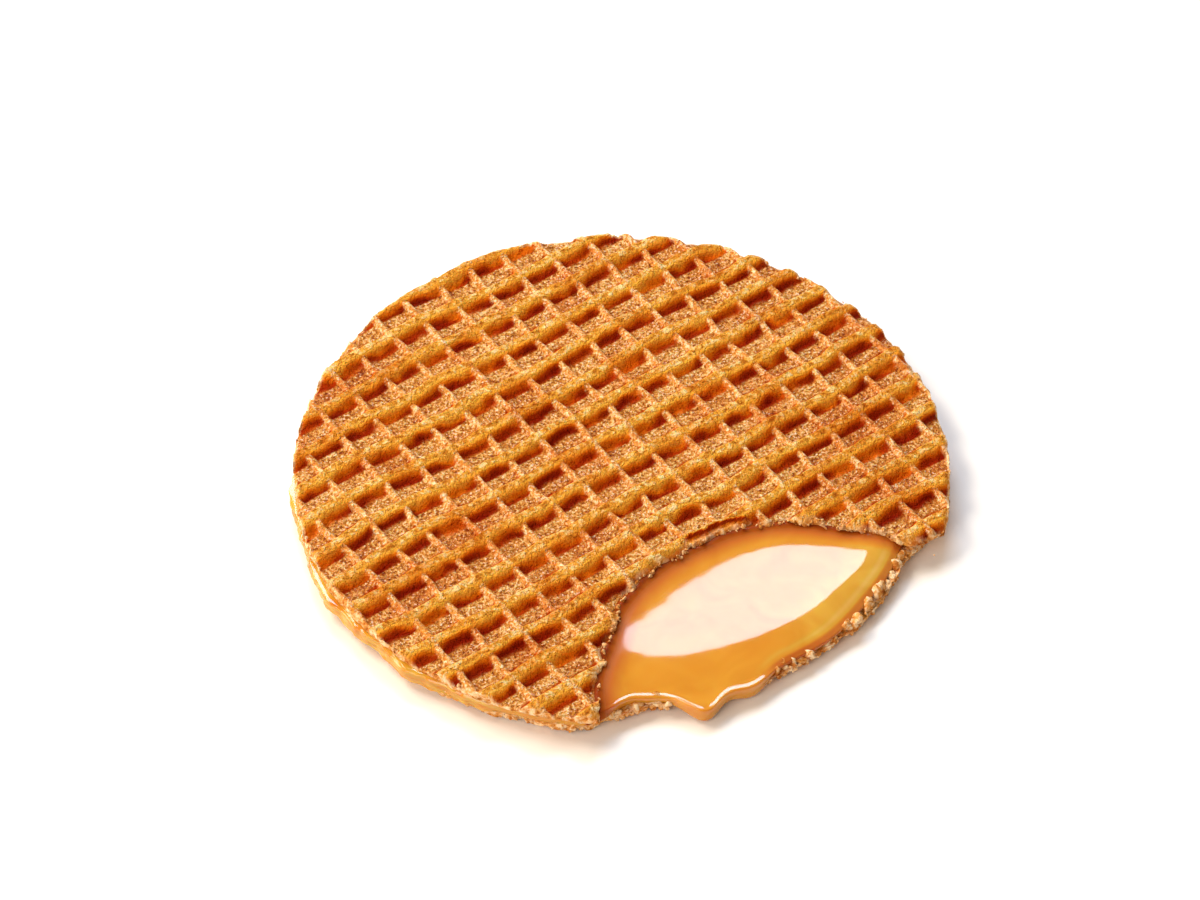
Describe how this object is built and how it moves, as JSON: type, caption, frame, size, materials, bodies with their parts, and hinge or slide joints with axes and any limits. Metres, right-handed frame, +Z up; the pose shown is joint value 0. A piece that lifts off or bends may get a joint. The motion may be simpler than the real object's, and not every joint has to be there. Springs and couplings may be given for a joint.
{
  "type": "stroopwafel",
  "caption": "Round stroopwafel, two thin waffle discs with a caramel filling, bitten at the front so that the caramel lies bare and drips over the rim.",
  "frame": {"origin": "middle of the underside, on the crossing of two ribs that rest on the table", "axes": "+Z up through the biscuit's thickness; +X to the right and -Y to the front, so that the bite is at the front right"},
  "size_m": [0.09, 0.09, 0.0048],
  "materials": {
    "wafer": "baked, crisp, slightly greasy",
    "caramel": "sticky, glossy, a little translucent"
  },
  "bodies": {
    "root": {"wafer_lower": "wafer", "filling": "caramel", "wafer_upper": "wafer"}
  },
  "joints": []
}
